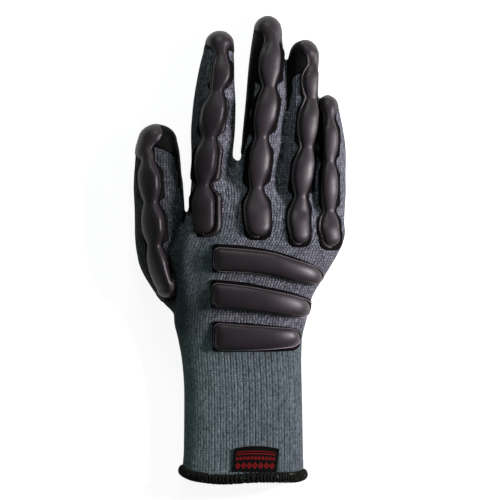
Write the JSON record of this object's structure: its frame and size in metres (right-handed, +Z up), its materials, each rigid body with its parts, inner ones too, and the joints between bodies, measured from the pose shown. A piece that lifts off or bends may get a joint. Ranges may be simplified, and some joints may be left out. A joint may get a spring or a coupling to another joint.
{
  "type": "impact-resistant work glove",
  "caption": "Right-hand knitted work glove lying palm down, with a long ribbed cuff, a dipped palm coating and moulded rubber guards over the fingers and the back of the hand.",
  "frame": {"origin": "middle of the bounding box, on the surface that the glove lies on", "axes": "+Y to the fingertips, +X to the little finger, +Z up out of the back of the hand"},
  "size_m": [0.1286, 0.2808, 0.0396],
  "materials": {
    "knit_yarn": "heather grey plain knit, ribbed at the cuff",
    "palm_dip": "matte black foam dip",
    "guard_rubber": "satin black moulded rubber",
    "hem_yarn": "black overlocked yarn",
    "label_weave": "black woven ribbon with a red woven pattern"
  },
  "bodies": {
    "root": {"knit_shell": "knit_yarn", "palm_coating": "palm_dip", "thumb_guard": "guard_rubber", "index_guard": "guard_rubber", "middle_guard": "guard_rubber", "ring_guard": "guard_rubber", "little_guard": "guard_rubber", "upper_bar": "guard_rubber", "middle_bar": "guard_rubber", "lower_bar": "guard_rubber", "cuff_hem": "hem_yarn", "cuff_label": "label_weave"}
  },
  "joints": []
}
